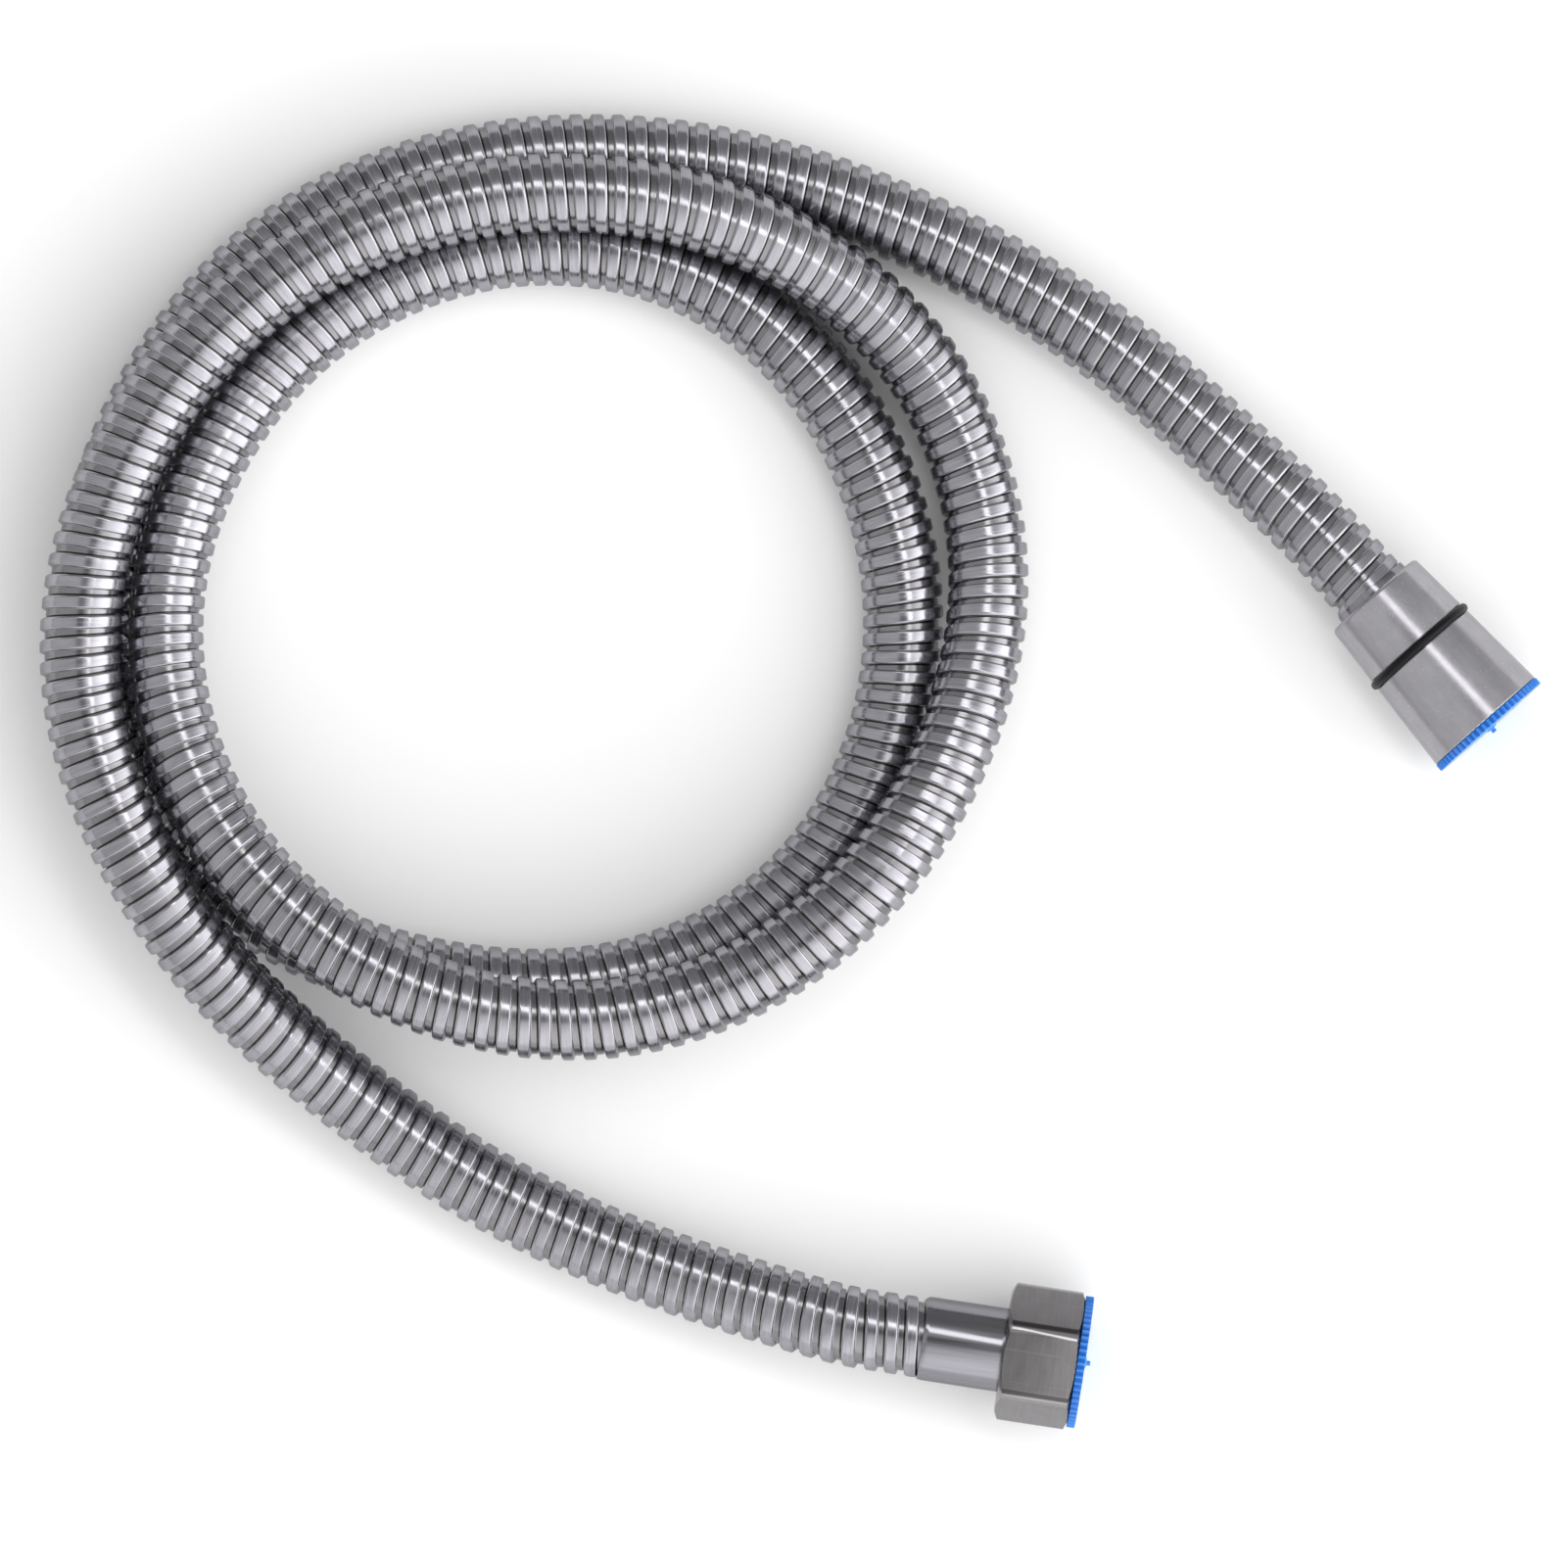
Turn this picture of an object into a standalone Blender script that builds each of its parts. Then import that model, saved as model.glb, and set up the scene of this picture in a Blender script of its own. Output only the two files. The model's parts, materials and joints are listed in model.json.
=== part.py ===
"""A metal shower hose of 1.5 m in a loose coil, with a conical nut at one end and a hexagon nut at the other.

Each end has the same insides: a sleeve behind which the hose ends, a barbed core in the inner tube, a slip
ring that the nut turns on, a sealing washer, and a transport cap in the thread. Metres, +Z up, on Z = 0.
"""

import math

import bmesh
import bpy
import numpy as np
from mathutils import Euler, Matrix, Vector

MM = 0.001

# Clearance between pieces that touch or turn in each other
GAP = 0.3 * MM

# Hose: the steel casing, and the rubber tube inside it that carries the water
HOSE_DIAMETER = 14.6 * MM
CASING_WALL = 1.4 * MM
CASING_SIDES = 12
TUBE_WALL = 1.2 * MM
TUBE_SIDES = 8
CENTRE_SAMPLES = 76

# Route of the hose's centre line from the conical end to the hexagon end, in millimetres
HOSE_ROUTE = (
    (81.0, 57.8, 8.3), (59.5, 76.5, 7.5), (31.0, 94.7, 7.3), (-1.0, 107.5, 7.3),
    (-35.0, 112.4, 7.3), (-67.0, 108.2, 7.3), (-94.3, 94.2, 7.3), (-115.2, 69.5, 7.3),
    (-125.0, 44.0, 7.3), (-125.8, 20.5, 7.3), (-118.2, -1.5, 7.3), (-103.6, -19.4, 7.3),
    (-84.0, -31.6, 7.3), (-64.5, -37.4, 7.3), (-42.2, -39.2, 7.3), (-13.6, -31.7, 7.3),
    (7.3, -13.9, 7.3), (19.0, 12.3, 7.3), (19.3, 40.8, 7.3), (7.0, 69.4, 7.3),
    (-15.7, 89.2, 7.3), (-41.6, 95.8, 7.3), (-67.3, 91.6, 7.4), (-90.0, 77.8, 9.3),
    (-105.4, 57.8, 12.1), (-113.3, 32.8, 15.4), (-111.2, 7.8, 18.8), (-100.5, -14.2, 21.6),
    (-80.5, -32.8, 22.4), (-55.4, -43.1, 21.9), (-26.1, -43.5, 20.9), (-1.2, -33.2, 20.7),
    (18.8, -14.6, 19.7), (31.2, 8.7, 15.3), (36.0, 33.7, 10.2), (33.0, 55.1, 8.3),
    (22.8, 75.4, 10.3), (4.2, 92.2, 15.2), (-19.7, 102.6, 19.9), (-48.7, 104.8, 20.9),
    (-75.8, 98.4, 21.3), (-100.7, 83.0, 21.9), (-118.7, 60.0, 22.3), (-127.4, 35.5, 22.4),
    (-127.6, 10.5, 22.3), (-118.6, -14.8, 21.0), (-103.9, -36.3, 16.3), (-81.6, -57.0, 10.3),
    (-54.9, -75.6, 7.7), (-26.1, -89.1, 8.2), (2.4, -98.3, 11.0),
)

# The hose leaves each sleeve straight for this far, then follows the route
STRAIGHT_RUN = 10 * MM

# Where each end's sleeve begins in plan, and which way it heads from +X
CONE_END_PLAN = (105.14 * MM, 33.24 * MM)
CONE_END_HEADING = math.radians(-48.5)
HEX_END_PLAN = (24.05 * MM, -102.6 * MM)
HEX_END_HEADING = math.radians(-8.7)

# Sleeve, and the barbed core that the inner tube is pushed onto
SLEEVE_DIAMETER = 15.3 * MM
SLEEVE_LENGTH = 18.4 * MM
SLEEVE_CHAMFER = 0.8 * MM
CORE_FLANGE = 1.4 * MM
CORE_STEM = 13 * MM
CORE_WATERWAY = 5 * MM
CORE_BARBS = 3
BARB_DEPTH = 0.35 * MM

# Insides of both nuts, whose thread is G 1/2
SLIP_RING = 0.8 * MM
SLIP_RING_WALL = 1.05 * MM
WASHER = 2 * MM
WASHER_BORE = 9 * MM
THREAD_MINOR = 18.6 * MM
MOUTH_CHAMFER = 0.6 * MM

# Conical nut and its O-ring
CONE_LENGTH = 30.6 * MM
CONE_REAR_DIAMETER = 19.9 * MM
CONE_FRONT_DIAMETER = 23.9 * MM
CONE_CHAMFER = 0.5 * MM
CONE_SLEEVE_SHOWS = 1.3 * MM
O_RING_SECTION = 1.7 * MM
O_RING_FROM_REAR = 12.5 * MM
O_RING_PROUD = 0.65 * MM

# Hexagon nut
HEX_LENGTH = 13.4 * MM
HEX_ACROSS_FLATS = 22.8 * MM
HEX_CORNER_ROUNDING = 1.2 * MM
HEX_REAR_CHAMFER = 1.05 * MM
HEX_FRONT_CHAMFER = 0.75 * MM
HEX_SLEEVE_SHOWS = 14.8 * MM
HEX_TURN = math.radians(7)

# Transport caps
CAP_DIAMETER = 24.1 * MM
CAP_DISC = 1.2 * MM
CAP_STANDOFF = 0.3 * MM
CAP_TEETH = 84
TOOTH_DEPTH = 0.35 * MM
PLUG_LENGTH = 3.6 * MM
PLUG_WALL = 0.9 * MM
NUB_DIAMETER = 0.9 * MM
NUB_HEIGHT = 1.1 * MM

ROUND_STEPS = 36
SECTION_STEPS = 12
ROUNDING_STEPS = 3

# The casing and the tube are swept with flat sides, so their clearances are taken at the middle of a side
CASING_BORE = HOSE_DIAMETER / 2 * math.cos(math.pi / CASING_SIDES) - CASING_WALL
TUBE_RADIUS = CASING_BORE - GAP
TUBE_BORE = TUBE_RADIUS * math.cos(math.pi / TUBE_SIDES) - TUBE_WALL
SLEEVE_RADIUS = SLEEVE_DIAMETER / 2
NECK_RADIUS = SLEEVE_RADIUS + GAP
SLIP_RING_RADIUS = NECK_RADIUS + SLIP_RING_WALL
UNDERCUT_RADIUS = SLIP_RING_RADIUS + 2 * GAP
THREAD_RADIUS = THREAD_MINOR / 2
FLANGE_RADIUS = THREAD_RADIUS - GAP

# Stations along an end, from the sleeve's rear edge towards the mouth of the nut
FLANGE_REAR = SLEEVE_LENGTH + GAP
FLANGE_FRONT = FLANGE_REAR + CORE_FLANGE
SLIP_RING_REAR = SLEEVE_LENGTH - SLIP_RING
SHOULDER = SLIP_RING_REAR - GAP
WASHER_REAR = FLANGE_FRONT + GAP
WASHER_FRONT = WASHER_REAR + WASHER
CONE_FRONT = CONE_SLEEVE_SHOWS + CONE_LENGTH
HEX_FRONT = HEX_SLEEVE_SHOWS + HEX_LENGTH

# Finishes: colour, roughness and metallic
STEEL = ((0.62, 0.62, 0.65), 0.22, 1)
SATIN_STEEL = ((0.55, 0.55, 0.57), 0.38, 1)
BRASS = ((0.72, 0.55, 0.28), 0.35, 1)
RUBBER = ((0.02, 0.02, 0.02), 0.55, 0)
WHITE_PLASTIC = ((0.85, 0.85, 0.84), 0.4, 0)
BLUE_PLASTIC = ((0.03, 0.22, 0.83), 0.4, 0)


def clear_scene():
    """Remove every object of the startup scene."""
    for obj in list(bpy.data.objects):
        bpy.data.objects.remove(obj)


def new_collection(name, hide_render):
    """Add a collection to the scene."""
    collection = bpy.data.collections.new(name)
    collection.hide_render = hide_render
    bpy.context.scene.collection.children.link(collection)
    return collection


def add_piece(name, mesh, finish, frame=None):
    """Add a piece of the hose, with a material of its own."""
    piece = bpy.data.objects.new(name, mesh)
    bpy.data.collections["parts"].objects.link(piece)
    piece.parent = frame
    colour, roughness, metallic = finish
    material = bpy.data.materials.new(name)
    material.use_nodes = True
    shader = material.node_tree.nodes["Principled BSDF"]
    shader.inputs["Base Color"].default_value = (*colour, 1)
    shader.inputs["Roughness"].default_value = roughness
    shader.inputs["Metallic"].default_value = metallic
    mesh.materials.append(material)
    return piece


def combine(piece, operation, name, mesh, frame):
    """Combine a piece with a helper shape that stays out of the picture."""
    helper = bpy.data.objects.new(name, mesh)
    bpy.data.collections["cutters"].objects.link(helper)
    helper.parent = frame
    helper.hide_render = True
    helper.display_type = "WIRE"
    boolean = piece.modifiers.new(name, "BOOLEAN")
    boolean.operation = operation
    boolean.solver = "EXACT"
    boolean.object = helper
    return helper


def end_frame(name, place, heading, rise):
    """Add an empty whose Z axis runs along an end, from the sleeve's rear edge to the mouth of the nut."""
    frame = bpy.data.objects.new(name, None)
    bpy.data.collections["parts"].objects.link(frame)
    frame.location = place
    frame.rotation_euler = Euler((0, math.pi / 2 - rise, heading))
    frame.empty_display_size = 0.01
    return frame


def along(frame, station):
    """Return the point on an end's axis at this station."""
    return frame.matrix_basis @ Vector((0, 0, station))


def smooth_curve(points, start, end, count):
    """Read evenly spaced points from the cubic spline through the given points and end directions."""
    points = np.array(points)
    spans = np.linalg.norm(np.diff(points, axis=0), axis=1)
    slopes = np.diff(points, axis=0) / spans[:, None]
    slopes = np.vstack([start, slopes, end])
    last = len(points) - 1

    # The curve's second derivatives at the points solve a system with three diagonals
    system = np.zeros((last + 1, last + 1))
    for i, span in enumerate(spans):
        system[i, i] += 2 * span
        system[i + 1, i + 1] += 2 * span
        system[i, i + 1] = system[i + 1, i] = span
    bends = np.linalg.solve(system, 6 * np.diff(slopes, axis=0))

    knots = np.append(0, np.cumsum(spans))

    def at(where):
        i = np.clip(np.searchsorted(knots, where) - 1, 0, last - 1)
        span = spans[i][:, None]
        done = (where - knots[i])[:, None]
        left = span - done
        straight = (points[i] * left + points[i + 1] * done) / span
        sway = bends[i] * left * (left**2 - span**2) + bends[i + 1] * done * (done**2 - span**2)
        return straight + sway / (6 * span)

    fine = np.linspace(0, knots[-1], 100 * last)
    lengths = np.append(0, np.cumsum(np.linalg.norm(np.diff(at(fine), axis=0), axis=1)))
    return at(np.interp(np.linspace(0, lengths[-1], count), lengths, fine))


def hose_centre(cone_end, hex_end):
    """Return the centre line of the curved hose, between the straight runs behind both sleeves."""
    start = along(cone_end, -STRAIGHT_RUN)
    end = along(hex_end, -STRAIGHT_RUN)
    route = [start, *(Vector(point) * MM for point in HOSE_ROUTE), end]
    leaving = (start - along(cone_end, 0)).normalized()
    arriving = (along(hex_end, 0) - end).normalized()
    return [Vector(point) for point in smooth_curve(route, leaving, arriving, CENTRE_SAMPLES)]


def bent_pipe(name, centre, radius, sides, wall, finish):
    """Sweep a hollow pipe along a centre line: an open skin, thickened inwards."""
    curve = bpy.data.curves.new(name, "CURVE")
    curve.dimensions = "3D"
    curve.bevel_depth = radius
    curve.bevel_resolution = sides // 2 - 2
    curve.twist_mode = "Z_UP"
    spline = curve.splines.new("POLY")
    spline.points.add(len(centre) - 1)
    for control, place in zip(spline.points, centre):
        control.co = (*place, 1)
        # Turned by half a side, so that the pipe lies on a flat
        control.tilt = math.pi / sides
    sweep = bpy.data.objects.new(name, curve)
    bpy.context.scene.collection.objects.link(sweep)
    depsgraph = bpy.context.evaluated_depsgraph_get()
    skin = bpy.data.meshes.new_from_object(sweep.evaluated_get(depsgraph))
    bpy.data.objects.remove(sweep)

    shape = bmesh.new()
    shape.from_mesh(skin)
    bmesh.ops.remove_doubles(shape, verts=shape.verts, dist=0.001 * MM)
    bmesh.ops.recalc_face_normals(shape, faces=shape.faces)
    shape.to_mesh(skin)
    shape.free()
    skin.shade_smooth()

    pipe = add_piece(name, skin, finish)
    thicken = pipe.modifiers.new("wall", "SOLIDIFY")
    thicken.thickness = wall
    thicken.offset = -1
    thicken.use_even_offset = True
    return pipe


def turned_mesh(name, outline):
    """Make a mesh of a closed outline of (radius, station) points, for turning about an end's axis.

    The outline runs down its outer side, from the mouth towards the sleeve, and back up its bore.
    """
    mesh = bpy.data.meshes.new(name)
    corners = [(radius, 0, station) for radius, station in outline]
    edges = [(i, (i + 1) % len(corners)) for i in range(len(corners))]
    mesh.from_pydata(corners, edges, [])
    return mesh


def turn(obj, steps=ROUND_STEPS):
    """Turn an object's outline about its Z axis."""
    screw = obj.modifiers.new("turn", "SCREW")
    screw.steps = steps
    screw.render_steps = steps
    screw.use_merge_vertices = True
    screw.merge_threshold = 0.001 * MM
    screw.use_smooth_shade = True


def turned_piece(name, outline, finish, frame):
    """Turn a piece about an end's axis."""
    piece = add_piece(name, turned_mesh(name, outline), finish, frame)
    turn(piece)
    return piece


def ring_outline(outer, inner, front, rear):
    """Return the outline of a plain ring."""
    return [(outer, front), (outer, rear), (inner, rear), (inner, front)]


def prism_mesh(name, radius, sides, rear, front, tooth_depth=0, rounding=0):
    """Make a prism about the Z axis, with a corner at +Y.

    Its long edges can be rounded, and every second one drawn in by the depth of a tooth.
    """
    shape = bmesh.new()
    middle = Matrix.Translation((0, 0, (rear + front) / 2))
    size = {"radius1": radius, "radius2": radius, "depth": front - rear}
    bmesh.ops.create_cone(shape, cap_ends=True, segments=sides, matrix=middle, **size)
    for vertex in shape.verts:
        corner = round(math.atan2(vertex.co.y, vertex.co.x) * sides / (2 * math.pi))
        if corner % 2 == 1:
            vertex.co.xy *= 1 - tooth_depth / radius
    if rounding:
        long_edges = [edge for edge in shape.edges if edge.verts[0].co.xy == edge.verts[1].co.xy]
        setback = rounding * math.tan(math.pi / sides)
        arc = {"offset": setback, "segments": ROUNDING_STEPS, "profile": 0.5}
        bmesh.ops.bevel(shape, geom=long_edges, affect="EDGES", **arc)
    mesh = bpy.data.meshes.new(name)
    shape.to_mesh(mesh)
    shape.free()
    return mesh


def sleeve(end, frame):
    """Turn the polished sleeve that the nut slides on."""
    outline = [
        (SLEEVE_RADIUS, SLEEVE_LENGTH),
        (SLEEVE_RADIUS, SLEEVE_CHAMFER),
        (SLEEVE_RADIUS - SLEEVE_CHAMFER, 0),
        (CASING_BORE, 0),
        (CASING_BORE, SLEEVE_LENGTH),
    ]
    turned_piece(end + "_sleeve", outline, STEEL, frame)


def core(end, frame):
    """Turn the core: a flange that the nut pulls forward, and a barbed stem in the inner tube."""
    tip = TUBE_BORE - GAP
    root = tip - BARB_DEPTH
    tail = FLANGE_REAR - CORE_STEM
    pitch = CORE_STEM / (CORE_BARBS + 1)
    outline = [(FLANGE_RADIUS, FLANGE_FRONT), (FLANGE_RADIUS, FLANGE_REAR), (root, FLANGE_REAR)]
    for barb in range(CORE_BARBS, 0, -1):
        # Each barb is steep towards the flange and slopes away towards the tail
        crest = tail + barb * pitch
        outline += [(root, crest), (tip, crest)]
    outline += [(root, tail), (CORE_WATERWAY / 2, tail), (CORE_WATERWAY / 2, FLANGE_FRONT)]
    turned_piece(end + "_core", outline, BRASS, frame)


def nut_bore(rear, front):
    """Return a nut's inner outline, from its rear face to its mouth: neck, shoulder, undercut and thread."""
    return [
        (NECK_RADIUS, rear),
        (NECK_RADIUS, SHOULDER),
        (UNDERCUT_RADIUS, SHOULDER),
        (UNDERCUT_RADIUS, FLANGE_FRONT),
        (THREAD_RADIUS, FLANGE_FRONT),
        (THREAD_RADIUS, front - MOUTH_CHAMFER),
        (THREAD_RADIUS + MOUTH_CHAMFER, front),
    ]


def cone_radius(station):
    """Return the conical nut's outer radius at this station."""
    share = (station - CONE_SLEEVE_SHOWS) / CONE_LENGTH
    return (CONE_REAR_DIAMETER + share * (CONE_FRONT_DIAMETER - CONE_REAR_DIAMETER)) / 2


def o_ring_place():
    """Return the radius and the station of the middle of the O-ring's section."""
    station = CONE_SLEEVE_SHOWS + O_RING_FROM_REAR
    return cone_radius(station) + O_RING_PROUD - O_RING_SECTION / 2, station


def cone_nut(frame):
    """Turn the conical nut, with the groove for its O-ring."""
    ring_radius, ring_station = o_ring_place()
    half_groove = O_RING_SECTION / 2 + GAP
    groove_front = ring_station + half_groove
    groove_rear = ring_station - half_groove
    groove_floor = ring_radius - half_groove
    rear = CONE_SLEEVE_SHOWS
    outline = [
        (cone_radius(CONE_FRONT) - CONE_CHAMFER, CONE_FRONT),
        (cone_radius(CONE_FRONT - CONE_CHAMFER), CONE_FRONT - CONE_CHAMFER),
        (cone_radius(groove_front), groove_front),
        (groove_floor, groove_front),
        (groove_floor, groove_rear),
        (cone_radius(groove_rear), groove_rear),
        (cone_radius(rear + CONE_CHAMFER), rear + CONE_CHAMFER),
        (cone_radius(rear) - CONE_CHAMFER, rear),
        *nut_bore(rear, CONE_FRONT),
    ]
    turned_piece("cone_nut", outline, SATIN_STEEL, frame)


def cone_o_ring(frame):
    """Turn the O-ring that gives the conical nut its grip."""
    ring_radius, ring_station = o_ring_place()
    outline = []
    for i in range(SECTION_STEPS):
        angle = math.pi / 2 - 2 * math.pi * i / SECTION_STEPS
        outward = O_RING_SECTION / 2 * math.cos(angle)
        forward = O_RING_SECTION / 2 * math.sin(angle)
        outline.append((ring_radius + outward, ring_station + forward))
    turned_piece("cone_o_ring", outline, RUBBER, frame)


def hex_nut(frame):
    """Turn the hexagon nut's blank with its two chamfers, then cut its six flats."""
    flat = HEX_ACROSS_FLATS / 2
    corner = flat / math.cos(math.pi / 6)
    rear = HEX_SLEEVE_SHOWS
    outline = [
        (flat, HEX_FRONT),
        (corner, HEX_FRONT - HEX_FRONT_CHAMFER),
        (corner, rear + HEX_REAR_CHAMFER),
        (flat, rear),
        *nut_bore(rear, HEX_FRONT),
    ]
    nut = turned_piece("hex_nut", outline, SATIN_STEEL, frame)
    # A prism with a corner at +Y has flats towards +X and -X, which face the floor and the viewer
    bar_rear = rear - HEX_REAR_CHAMFER
    bar_front = HEX_FRONT + HEX_FRONT_CHAMFER
    bar = prism_mesh("hex_bar", corner, 6, bar_rear, bar_front, rounding=HEX_CORNER_ROUNDING)
    combine(nut, "INTERSECT", "hex_bar", bar, frame).rotation_euler.z = HEX_TURN


def cap(end, nut_front, frame):
    """Make a transport cap: a disc with a milled rim, a hollow plug that grips the thread, and a nub."""
    disc_rear = nut_front + CAP_STANDOFF
    disc_front = disc_rear + CAP_DISC
    disc = prism_mesh(end + "_cap", CAP_DIAMETER / 2, 2 * CAP_TEETH, disc_rear, disc_front, TOOTH_DEPTH)
    piece = add_piece(end + "_cap", disc, BLUE_PLASTIC, frame)

    # The plug and the nub reach half-way into the disc, so that all three join as one body
    inside = (disc_rear + disc_front) / 2
    plug = ring_outline(FLANGE_RADIUS, FLANGE_RADIUS - PLUG_WALL, inside, disc_rear - PLUG_LENGTH)
    turn(combine(piece, "UNION", end + "_cap_plug", turned_mesh(end + "_cap_plug", plug), frame))
    nub = prism_mesh(end + "_cap_nub", NUB_DIAMETER / 2, SECTION_STEPS, inside, disc_front + NUB_HEIGHT)
    combine(piece, "UNION", end + "_cap_nub", nub, frame)


def end_fitting(end, nut_front, frame):
    """Build the pieces that both ends have."""
    sleeve(end, frame)
    core(end, frame)
    slip_ring = ring_outline(SLIP_RING_RADIUS, NECK_RADIUS, SLEEVE_LENGTH, SLIP_RING_REAR)
    turned_piece(end + "_slip_ring", slip_ring, WHITE_PLASTIC, frame)
    washer = ring_outline(FLANGE_RADIUS, WASHER_BORE / 2, WASHER_FRONT, WASHER_REAR)
    turned_piece(end + "_washer", washer, RUBBER, frame)
    cap(end, nut_front, frame)


def cone_end_rest():
    """Return the height of the conical end's sleeve, and how much its nose rises.

    This end lies on its O-ring and on the rim of its cap.
    """
    ring_radius, ring_station = o_ring_place()
    reach = CONE_FRONT + CAP_STANDOFF - ring_station
    drop = CAP_DIAMETER / 2 - ring_radius
    rise = math.atan2(drop, reach) - math.asin(O_RING_SECTION / 2 / math.hypot(reach, drop))
    lowest = ring_radius * math.cos(rise) + O_RING_SECTION / 2
    return lowest - ring_station * math.sin(rise), rise


def hex_end_height():
    """Return the height of the hexagon end, which lies on the rim of its cap or on a corner."""
    corner = (HEX_ACROSS_FLATS / 2 - HEX_CORNER_ROUNDING) / math.cos(math.pi / 6)
    lowest = corner * math.cos(math.pi / 6 - HEX_TURN) + HEX_CORNER_ROUNDING
    return max(CAP_DIAMETER / 2, lowest)


def build():
    """Build the whole hose."""
    clear_scene()
    new_collection("parts", hide_render=False)
    new_collection("cutters", hide_render=True)
    cone_height, cone_rise = cone_end_rest()
    cone_end = end_frame("cone_end", (*CONE_END_PLAN, cone_height), CONE_END_HEADING, cone_rise)
    hex_end = end_frame("hex_end", (*HEX_END_PLAN, hex_end_height()), HEX_END_HEADING, 0)

    curved = hose_centre(cone_end, hex_end)
    casing = [along(cone_end, -GAP), *curved, along(hex_end, -GAP)]
    bent_pipe("hose_casing", casing, HOSE_DIAMETER / 2, CASING_SIDES, CASING_WALL, STEEL)
    tube = [along(cone_end, SLEEVE_LENGTH), *curved, along(hex_end, SLEEVE_LENGTH)]
    bent_pipe("inner_tube", tube, TUBE_RADIUS, TUBE_SIDES, TUBE_WALL, RUBBER)

    end_fitting("cone", CONE_FRONT, cone_end)
    cone_nut(cone_end)
    cone_o_ring(cone_end)
    end_fitting("hex", HEX_FRONT, hex_end)
    hex_nut(hex_end)


build()
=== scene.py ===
"""Looks of the coiled shower hose: wound steel strip, turned nuts and sleeves, rubber and caps.

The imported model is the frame. Everything is in metres. Along each end, a station is a distance from
the rear edge of the sleeve towards the mouth of the nut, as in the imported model.
"""

import json
import math
from functools import reduce

import bmesh
import bpy
import numpy as np
from mathutils import Matrix, Vector


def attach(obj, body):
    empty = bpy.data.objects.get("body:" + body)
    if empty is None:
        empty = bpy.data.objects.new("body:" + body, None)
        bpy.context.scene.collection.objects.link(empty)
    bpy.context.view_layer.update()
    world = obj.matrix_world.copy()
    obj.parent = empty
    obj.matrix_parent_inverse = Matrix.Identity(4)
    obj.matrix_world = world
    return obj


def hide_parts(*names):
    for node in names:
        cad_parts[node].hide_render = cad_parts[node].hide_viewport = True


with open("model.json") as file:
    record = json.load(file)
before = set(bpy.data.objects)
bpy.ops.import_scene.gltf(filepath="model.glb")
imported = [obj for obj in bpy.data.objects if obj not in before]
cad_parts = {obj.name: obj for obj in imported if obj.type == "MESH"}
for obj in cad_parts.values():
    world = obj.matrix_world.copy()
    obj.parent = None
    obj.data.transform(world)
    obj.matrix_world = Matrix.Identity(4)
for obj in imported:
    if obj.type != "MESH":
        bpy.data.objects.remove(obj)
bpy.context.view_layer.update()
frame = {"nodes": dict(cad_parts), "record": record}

MM = 0.001

# Route of the hose's centre line from the conical end to the hexagon end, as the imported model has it
HOSE_ROUTE = [
    Vector(point) * MM
    for point in (
        (81.0, 57.8, 8.3), (59.5, 76.5, 7.5), (31.0, 94.7, 7.3), (-1.0, 107.5, 7.3),
        (-35.0, 112.4, 7.3), (-67.0, 108.2, 7.3), (-94.3, 94.2, 7.3), (-115.2, 69.5, 7.3),
        (-125.0, 44.0, 7.3), (-125.8, 20.5, 7.3), (-118.2, -1.5, 7.3), (-103.6, -19.4, 7.3),
        (-84.0, -31.6, 7.3), (-64.5, -37.4, 7.3), (-42.2, -39.2, 7.3), (-13.6, -31.7, 7.3),
        (7.3, -13.9, 7.3), (19.0, 12.3, 7.3), (19.3, 40.8, 7.3), (7.0, 69.4, 7.3),
        (-15.7, 89.2, 7.3), (-41.6, 95.8, 7.3), (-67.3, 91.6, 7.4), (-90.0, 77.8, 9.3),
        (-105.4, 57.8, 12.1), (-113.3, 32.8, 15.4), (-111.2, 7.8, 18.8), (-100.5, -14.2, 21.6),
        (-80.5, -32.8, 22.4), (-55.4, -43.1, 21.9), (-26.1, -43.5, 20.9), (-1.2, -33.2, 20.7),
        (18.8, -14.6, 19.7), (31.2, 8.7, 15.3), (36.0, 33.7, 10.2), (33.0, 55.1, 8.3),
        (22.8, 75.4, 10.3), (4.2, 92.2, 15.2), (-19.7, 102.6, 19.9), (-48.7, 104.8, 20.9),
        (-75.8, 98.4, 21.3), (-100.7, 83.0, 21.9), (-118.7, 60.0, 22.3), (-127.4, 35.5, 22.4),
        (-127.6, 10.5, 22.3), (-118.6, -14.8, 21.0), (-103.9, -36.3, 16.3), (-81.6, -57.0, 10.3),
        (-54.9, -75.6, 7.7), (-26.1, -89.1, 8.2), (2.4, -98.3, 11.0),
    )
]
STRAIGHT_RUN = 10 * MM

# Hose: a strip wound right-handed, whose turns hook into each other
HOSE_DIAMETER = 14.6 * MM
TURN_PITCH = 3.663 * MM
SEGMENTS_A_TURN = 18
SAMPLE_SPACING = 0.5 * MM
BEND_SMOOTHING = 25

# The winding is shifted this far along the hose, so that the last crest at each sleeve shows as much
# of itself as in the photo
WINDING_START = 0.35 * TURN_PITCH

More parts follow.
